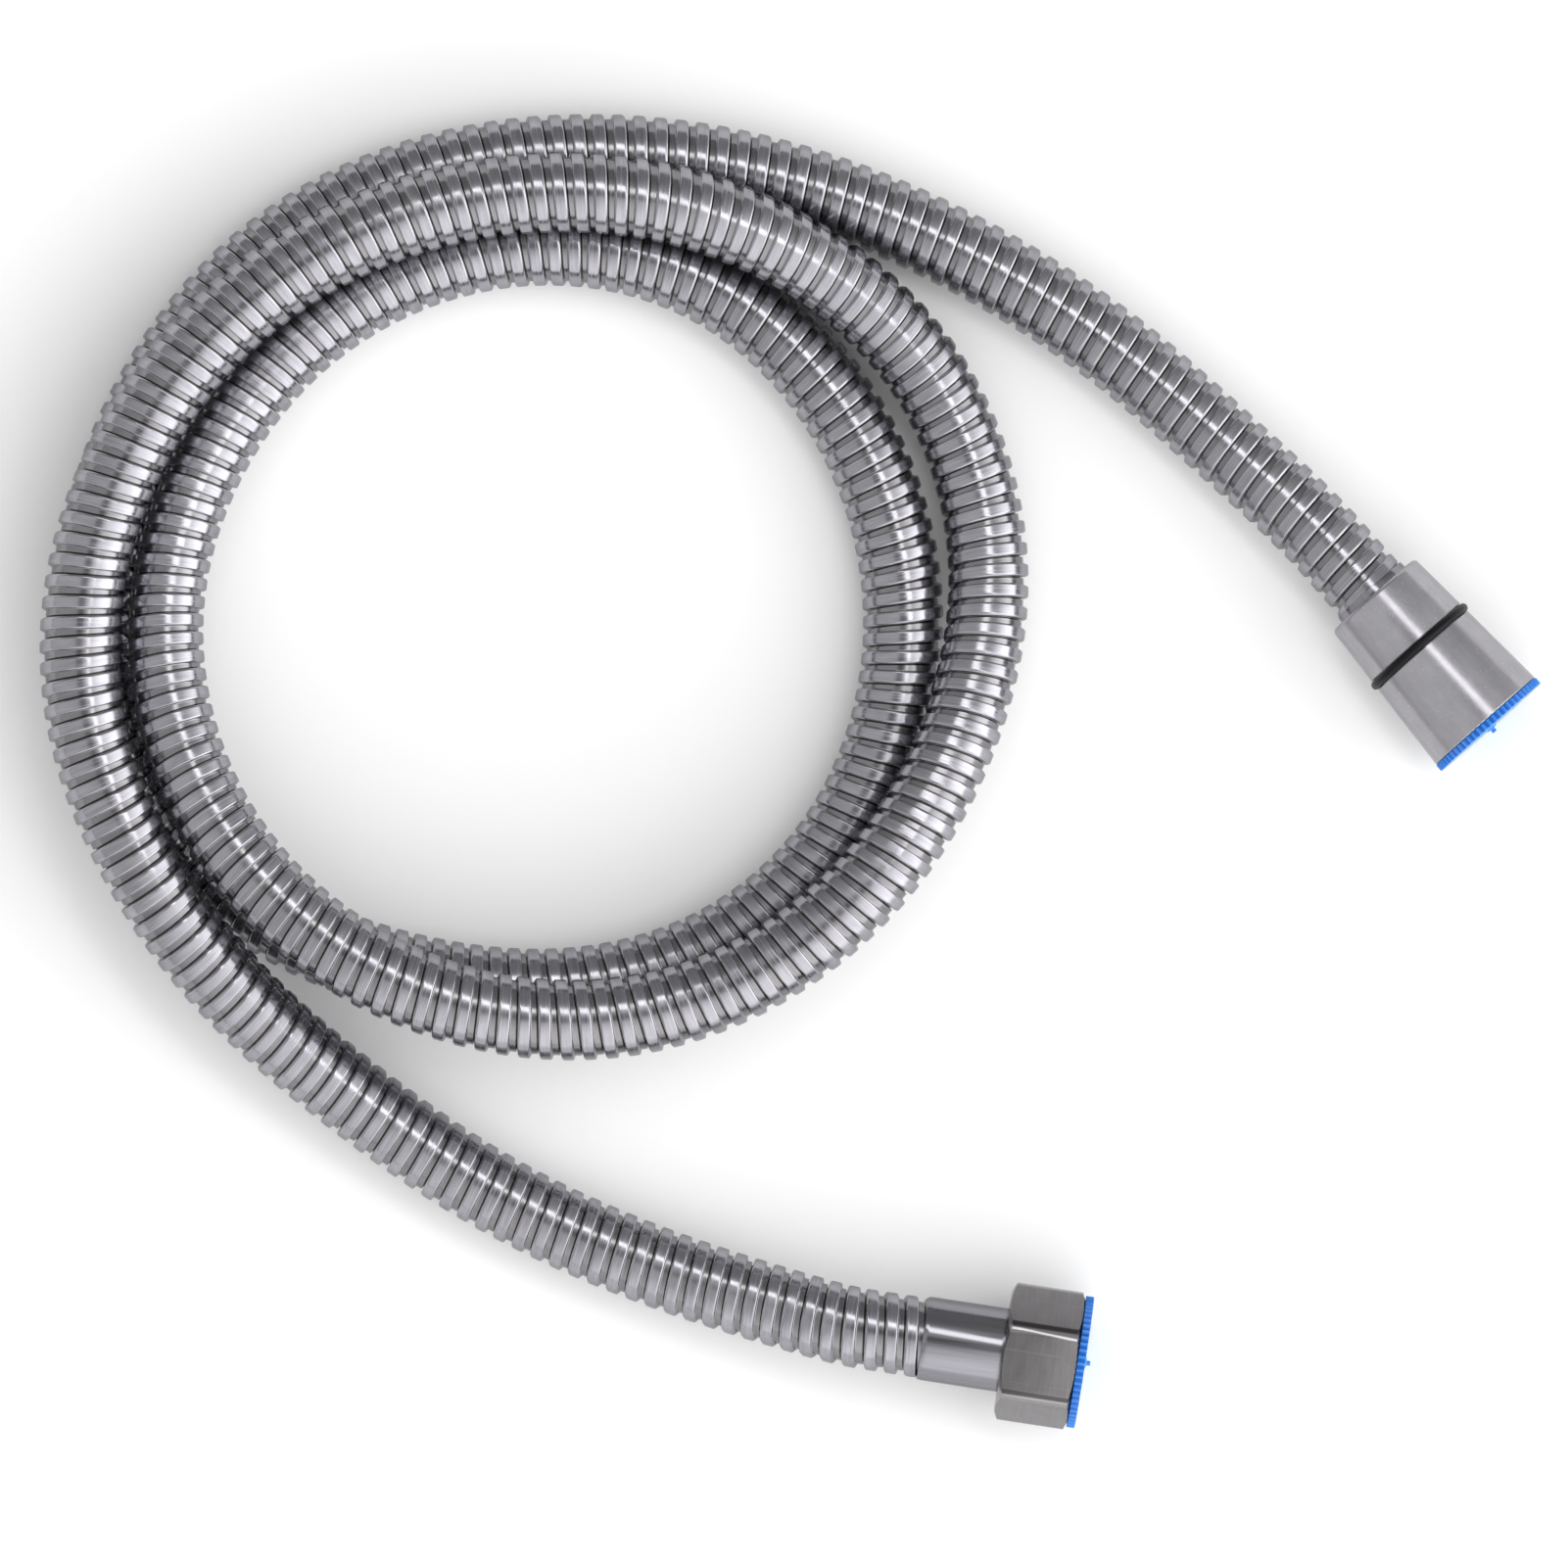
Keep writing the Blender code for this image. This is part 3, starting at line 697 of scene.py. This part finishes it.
class CentreLine:
    """The hose's centre line from inside one sleeve to inside the other.

    A station is a distance along it, here from its start in the conical end's sleeve.
    """

    def __init__(self):
        self.points = self.route()
        steps = np.linalg.norm(np.diff(self.points, axis=0), axis=1)
        self.stations = np.append(0, np.cumsum(steps))
        self.length = self.stations[-1]
        self.forward = unit(np.gradient(self.points, self.stations, axis=0))
        self.level = unit(np.cross((0, 0, 1), self.forward))
        self.up = np.cross(self.forward, self.level)
        bend = np.gradient(self.forward, self.stations, axis=0)
        smoothing = np.ones(BEND_SMOOTHING) / BEND_SMOOTHING
        self.bend = np.stack([np.convolve(part, smoothing, "same") for part in bend.T], axis=1)

    def route(self):
        """Return closely spaced points: a straight run at each end, and a smooth curve between them."""
        start = along(CONE_END, -STRAIGHT_RUN)
        end = along(HEX_END, -STRAIGHT_RUN)
        leaving = -CONE_END.col[2].xyz
        arriving = HEX_END.col[2].xyz
        curved = smooth_curve([start, *HOSE_ROUTE, end], leaving, arriving, SAMPLE_SPACING)
        count = round((STRAIGHT_RUN + HOSE_IN_SLEEVE) / SAMPLE_SPACING)
        first = np.linspace(along(CONE_END, HOSE_IN_SLEEVE), start, count, endpoint=False)
        last = np.linspace(along(HEX_END, HOSE_IN_SLEEVE), end, count, endpoint=False)[::-1]
        return np.vstack([first, curved, last])

    def at(self, station, values):
        """Return the line's points, or one of its directions, at these stations."""
        return np.stack([np.interp(station, self.stations, part) for part in values.T], axis=-1)

    def outward(self, station, angle):
        """Return the directions away from the line at these stations, at these angles above level."""
        level = np.cos(angle)[..., None] * self.at(station, self.level)
        return level + np.sin(angle)[..., None] * self.at(station, self.up)


def strip_stations(line, turn, share, round_turn):
    """Return each point's station: by turn, by share of the turn's section, and by share of a turn round.

    Each crest keeps its width and turns stiffly about its middle, which lies half-way along the rigid
    share of the pitch. So where the hose bends, the gap beside it closes on the inside of the bend and
    opens on the outside.
    """
    middle = WINDING_START + TURN_PITCH * (turn - 1 + RIGID_SHARE / 2 + round_turn)
    outward = line.outward(middle, 2 * math.pi * round_turn)
    stretch = 1 - HOSE_DIAMETER / 2 * np.sum(outward * line.at(middle, line.bend), axis=-1)
    half_crest = RIGID_SHARE / 2 * TURN_PITCH / stretch
    on_crest = (share / RIGID_SHARE * 2 - 1) * half_crest
    gap = TURN_PITCH - 2 * half_crest
    past_crest = half_crest + (share - RIGID_SHARE) / (1 - RIGID_SHARE) * gap
    return middle + np.where(share <= RIGID_SHARE, on_crest, past_crest)


def strip_faces(stations, rows_a_turn, length):
    """Return the corners of the faces that lie on the hose's length."""
    index = np.arange(stations.size).reshape(stations.shape)
    here = index[:-rows_a_turn]

    # A row's last column meets the first column of the same row one turn on
    on = np.hstack([index[:-rows_a_turn, 1:], index[rows_a_turn:, :1]])
    faces = np.stack([here[:-1], on[:-1], on[1:], here[1:]], axis=-1).reshape(-1, 4)
    within = (stations > 0) & (stations < length)
    return faces[within.reshape(-1)[faces].any(axis=1)]


def wound_strip(line):
    """Wind the strip round the centre line, and return the mesh."""
    shares, depths, tilts = np.array(TURN_SECTION).T
    turns = math.ceil(line.length / TURN_PITCH) + 1
    share = np.tile(shares, turns)[:, None]
    depth = np.tile(depths, turns)[:, None]
    tilt = np.radians(np.tile(tilts, turns))[:, None]
    turn = np.repeat(np.arange(turns), len(shares))[:, None]
    round_turn = np.arange(SEGMENTS_A_TURN)[None, :] / SEGMENTS_A_TURN

    stations = strip_stations(line, turn, share, round_turn)
    inside = np.clip(stations, 0, line.length)
    outward = line.outward(inside, 2 * math.pi * round_turn)
    points = line.at(inside, line.points) + (HOSE_DIAMETER / 2 - depth)[..., None] * outward
    forward = line.at(inside, line.forward)
    normals = np.cos(tilt)[..., None] * outward - np.sin(tilt)[..., None] * forward
    faces = strip_faces(stations, len(shares), line.length)
    used, corners = np.unique(faces, return_inverse=True)
    corners = corners.reshape(-1)

    mesh = bpy.data.meshes.new("hose")
    mesh.from_pydata(points.reshape(-1, 3)[used], [], corners.reshape(-1, 4))
    mesh.shade_smooth()
    mesh.normals_split_custom_set_from_vertices(normals.reshape(-1, 3)[used])
    attribute = mesh.attributes.new("depth", "FLOAT", "POINT")
    depth_shares = np.repeat(depth / GROOVE_DEPTH, SEGMENTS_A_TURN, axis=1)
    attribute.data.foreach_set("value", depth_shares.reshape(-1)[used])

    # Map the strip flat: how far along it, and how far across it
    strip_length = (turn + round_turn) * math.pi * HOSE_DIAMETER
    across = np.repeat(share * TURN_PITCH, SEGMENTS_A_TURN, axis=1)
    flat = np.stack([strip_length, across], axis=-1).reshape(-1, 2)[used]
    mesh.uv_layers.new(name="strip").data.foreach_set("uv", flat[corners].reshape(-1))
    return mesh


def make_hose(line):
    """Make the wound hose, which takes the place of the plain casing."""
    hose = add_piece("hose", wound_strip(line), strip_steel(), "hose")
    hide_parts("hose_casing")
    return hose


# Sleeves, nuts, O-ring, washers and caps


def make_sleeve(name, end, material):
    """Make a polished sleeve, with the end of the hose inside it."""
    mouth = HOSE_DIAMETER / 2 + SLEEVE_GAP
    outline = rounded([
        (SLEEVE_RADIUS, SLEEVE_LENGTH, 0.1 * MM),
        (SLEEVE_RADIUS, SLEEVE_CHAMFER, 0.4 * MM),
        (SLEEVE_RADIUS - SLEEVE_CHAMFER_DROP, 0, 0.05 * MM),
        (mouth, 0, 0.05 * MM),
        (mouth, SLEEVE_RECESS, 0),
        (SLEEVE_BORE, SLEEVE_RECESS, 0),
        (SLEEVE_BORE, SLEEVE_LENGTH, 0.1 * MM),
    ])
    node = name + "_sleeve"
    sleeve = add_piece(node + "_polished", lathe(node, outline), material, "hose", end)
    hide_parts(node)
    return sleeve


def nut_bore(rear, front):
    """Return a nut's inner outline from its rear forward: neck, shoulder, undercut and threaded wall."""
    return [
        (NECK_RADIUS, rear, 0.15 * MM),
        (NECK_RADIUS, SHOULDER, 0),
        (UNDERCUT_RADIUS, SHOULDER, 0),
        (UNDERCUT_RADIUS, UNDERCUT_FRONT, 0),
        (THREAD_MINOR_RADIUS, UNDERCUT_FRONT, 0),
        (THREAD_MINOR_RADIUS, THREAD_START, 0),
        (THREAD_MAJOR_RADIUS, THREAD_START, 0),
        (THREAD_MAJOR_RADIUS, front - MOUTH_CHAMFER_DEPTH, 0),
        (THREAD_MAJOR_RADIUS + MOUTH_CHAMFER_WIDTH, front, 0.05 * MM),
    ]


def thread_mesh(name, front):
    """Make the ridge of an internal right-hand thread, which runs out at both ends."""
    turns = (front - THREAD_END_GAP - THREAD_START) / THREAD_PITCH - 1
    count = round(turns * THREAD_STEPS_A_TURN)
    step = np.arange(count)[:, None]
    angle = 2 * math.pi * step / THREAD_STEPS_A_TURN
    middle = THREAD_START + THREAD_PITCH * (0.5 + step / THREAD_STEPS_A_TURN)

    # The ridge rises to its full height over a fifth of a turn from each end
    from_end = np.minimum(step, count - 1 - step) / (THREAD_STEPS_A_TURN / 5)
    height = (THREAD_MAJOR_RADIUS - THREAD_MINOR_RADIUS) * np.clip(from_end, 0.02, 1)
    across, inward = np.array(THREAD_SECTION).T
    radius = THREAD_MAJOR_RADIUS - inward * height
    station = middle + across * THREAD_PITCH
    points = np.stack([radius * np.cos(angle), radius * np.sin(angle), station], axis=-1)
    return finish_mesh(grid_mesh(name, points, close_rows=False), sharp_angle=50)


def cone_radius(station):
    """Return the conical nut's outer radius at this station."""
    share = (station - CONE_REAR) / (CONE_FRONT - CONE_REAR)
    return CONE_REAR_RADIUS + share * (CONE_FRONT_RADIUS - CONE_REAR_RADIUS)


def o_ring_radius():
    """Return the radius of the circle in the middle of the O-ring's section."""
    return cone_radius(O_RING_STATION) + O_RING_PROUD - O_RING_SECTION / 2


def make_cone_nut(material):
    """Make the conical nut with its groove and thread."""
    groove_rear = O_RING_STATION - O_RING_SECTION / 2 - GROOVE_SIDE_GAP
    groove_front = O_RING_STATION + O_RING_SECTION / 2 + GROOVE_SIDE_GAP
    groove_floor = o_ring_radius() - O_RING_SECTION / 2 - GROOVE_FLOOR_GAP
    rear_chamfer_end = CONE_REAR + CONE_REAR_CHAMFER
    front_chamfer_start = CONE_FRONT - CONE_FRONT_CHAMFER
    outline = rounded([
        (cone_radius(CONE_FRONT) - CONE_FRONT_CHAMFER, CONE_FRONT, 0.05 * MM),
        (cone_radius(front_chamfer_start), front_chamfer_start, 0.1 * MM),
        (cone_radius(groove_front), groove_front, 0.12 * MM),
        (groove_floor, groove_front, 0),
        (groove_floor, groove_rear, 0),
        (cone_radius(groove_rear), groove_rear, 0.12 * MM),
        (cone_radius(rear_chamfer_end), rear_chamfer_end, 0.3 * MM),
        (cone_radius(CONE_REAR) - CONE_REAR_CHAMFER, CONE_REAR, 0.15 * MM),
        *nut_bore(CONE_REAR, CONE_FRONT),
    ])
    mesh = lathe("cone_nut_satin", outline)
    nut = add_piece("cone_nut_satin", mesh, material, "cone_nut", CONE_END)
    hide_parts("cone_nut")
    thread = thread_mesh("cone_thread", CONE_FRONT)
    add_piece("cone_thread", thread, material, "cone_nut", CONE_END)


def make_o_ring(material):
    """Make the O-ring, seated in its groove."""
    half_section = O_RING_SECTION / 2
    angles = np.linspace(math.pi / 2, -1.5 * math.pi, O_RING_STEPS, endpoint=False)
    outline = [
        (o_ring_radius() + half_section * math.cos(a), O_RING_STATION + half_section * math.sin(a))
        for a in angles
    ]
    ring = lathe("cone_o_ring_round", outline)
    piece = add_piece("cone_o_ring_round", ring, material, "cone_nut", CONE_END)
    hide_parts("cone_o_ring")


def hex_bar(length, middle):
    """Make a hexagonal bar of this length about this station, with rounded long edges."""
    corner = HEX_CORNER_RADIUS
    place = Matrix.Translation((0, 0, middle)) @ Matrix.Rotation(HEX_TURN, 4, "Z")
    shape = bmesh.new()
    bmesh.ops.create_cone(
        shape, cap_ends=True, segments=6, radius1=corner, radius2=corner, depth=length, matrix=place
    )
    long_edges = [edge for edge in shape.edges if abs(edge.verts[0].co.z - edge.verts[1].co.z) > length / 2]
    setback = HEX_CORNER_ROUNDING * math.tan(math.pi / 6)
    bmesh.ops.bevel(
        shape, geom=long_edges, offset=setback, segments=HEX_CORNER_STEPS, affect="EDGES", profile=0.5
    )
    mesh = bpy.data.meshes.new("hex_bar")
    shape.to_mesh(mesh)
    shape.free()
    return mesh


def make_hex_nut(material):
    """Make the hexagon nut: a turned blank with chamfers, cut to six flats, with its edges broken."""
    outline = rounded([
        (HEX_FLAT - HEX_FACE_INSET, HEX_FRONT, 0.1 * MM),
        (HEX_CORNER_RADIUS, HEX_FRONT - HEX_FRONT_CHAMFER, 0),
        (HEX_CORNER_RADIUS, HEX_REAR + HEX_REAR_CHAMFER, 0),
        (HEX_FLAT - HEX_FACE_INSET, HEX_REAR, 0.15 * MM),
        *nut_bore(HEX_REAR, HEX_FRONT),
    ])
    blank = bpy.data.objects.new("blank", lathe("blank", outline))
    bar = bpy.data.objects.new("bar", hex_bar(2 * (HEX_FRONT - HEX_REAR), (HEX_FRONT + HEX_REAR) / 2))
    for helper in (blank, bar):
        bpy.context.scene.collection.objects.link(helper)
    cut = blank.modifiers.new("cut", "BOOLEAN")
    cut.operation = "INTERSECT"
    cut.solver = "EXACT"
    cut.object = bar
    edges = blank.modifiers.new("edges", "BEVEL")
    edges.limit_method = "ANGLE"
    edges.angle_limit = math.radians(15)
    edges.width = HEX_EDGE
    edges.segments = 2
    depsgraph = bpy.context.evaluated_depsgraph_get()
    mesh = bpy.data.meshes.new_from_object(blank.evaluated_get(depsgraph))
    for helper in (blank, bar):
        bpy.data.objects.remove(helper)
    finish_mesh(mesh, sharp_angle=30)
    nut = add_piece("hex_nut_brushed", mesh, material, "hex_nut", HEX_END)
    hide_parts("hex_nut")
    thread = thread_mesh("hex_thread", HEX_FRONT)
    add_piece("hex_thread", thread, material, "hex_nut", HEX_END)
    return nut


def make_washer(name, body, end, material):
    """Make a sealing washer with softly rounded edges."""
    outline = rounded([
        (FLANGE_RADIUS, WASHER_FRONT, WASHER_EDGE),
        (FLANGE_RADIUS, WASHER_REAR, WASHER_EDGE),
        (WASHER_BORE_RADIUS, WASHER_REAR, WASHER_EDGE),
        (WASHER_BORE_RADIUS, WASHER_FRONT, WASHER_EDGE),
    ])
    washer = add_piece(name + "_soft", lathe(name + "_soft", outline), material, body, end)
    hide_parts(name)


def make_cap(name, nut_front, body, end, material):
    """Make a transport cap: a disc with a milled rim, a hollow plug and the nub of its moulding."""
    rear = nut_front + CAP_REAR
    front = nut_front + CAP_FRONT
    plug_rear = rear - PLUG_LENGTH
    outline = rounded([
        (AXIS_RADIUS, front + NUB_HEIGHT, 0),
        (NUB_RADIUS, front + NUB_HEIGHT, 0.15 * MM),
        (NUB_RADIUS, front + BOSS_HEIGHT, 0.15 * MM),
        (BOSS_RADIUS, front + BOSS_HEIGHT, 0.2 * MM),
        (BOSS_RADIUS + BOSS_FLARE, front, 0.2 * MM),
        (CAP_RADIUS, front, 0.2 * MM),
        (CAP_RADIUS, rear, 0.15 * MM),
        (FLANGE_RADIUS, rear, 0.1 * MM),
        (FLANGE_RADIUS, plug_rear, 0.3 * MM),
        (FLANGE_RADIUS - PLUG_WALL, plug_rear, 0.15 * MM),
        (FLANGE_RADIUS - PLUG_WALL, rear, 0.3 * MM),
        (AXIS_RADIUS, rear, 0),
    ])

    def mill(radii, angles):
        """Press the teeth into the rim only."""
        on_rim = np.clip((radii - CAP_RADIUS + TEETH_START) / TEETH_BLEND, 0, 1)
        wave = 0.5 - 0.5 * np.cos(CAP_TEETH * angles)
        return radii - on_rim * TOOTH_DEPTH * wave

    mesh = lathe(name + "_milled", outline, STEPS_A_TOOTH * CAP_TEETH, mill)
    piece = add_piece(name + "_milled", mesh, material, body, end)
    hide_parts(name)
    return piece


def dress_hidden_pieces(rubber):
    """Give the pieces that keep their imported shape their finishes."""
    brass = turned_brass()
    white = white_plastic()
    finishes = {
        "inner_tube": rubber,
        "cone_core": brass,
        "hex_core": brass,
        "cone_slip_ring": white,
        "hex_slip_ring": white,
    }
    for name, material in finishes.items():
        node = frame["nodes"][name]
        node.data.materials.clear()
        node.data.materials.append(material)


def main():
    """Build the scene."""
    add_camera()
    line = CentreLine()
    hose = make_hose(line)
    light_studio()
    add_floor()
    polished = polished_steel()
    rubber = black_rubber()
    plastic = blue_plastic()
    make_sleeve("cone", CONE_END, polished)
    hex_sleeve = make_sleeve("hex", HEX_END, polished)
    make_cone_nut(satin_steel())
    make_o_ring(rubber)
    hex_nut = make_hex_nut(brushed_steel())
    make_washer("cone_washer", "cone_nut", CONE_END, rubber)
    make_washer("hex_washer", "hex_nut", HEX_END, rubber)
    make_cap("cone_cap", CONE_FRONT, "cone_cap", CONE_END, plastic)
    hex_cap = make_cap("hex_cap", HEX_FRONT, "hex_cap", HEX_END, plastic)
    dress_hidden_pieces(rubber)


main()
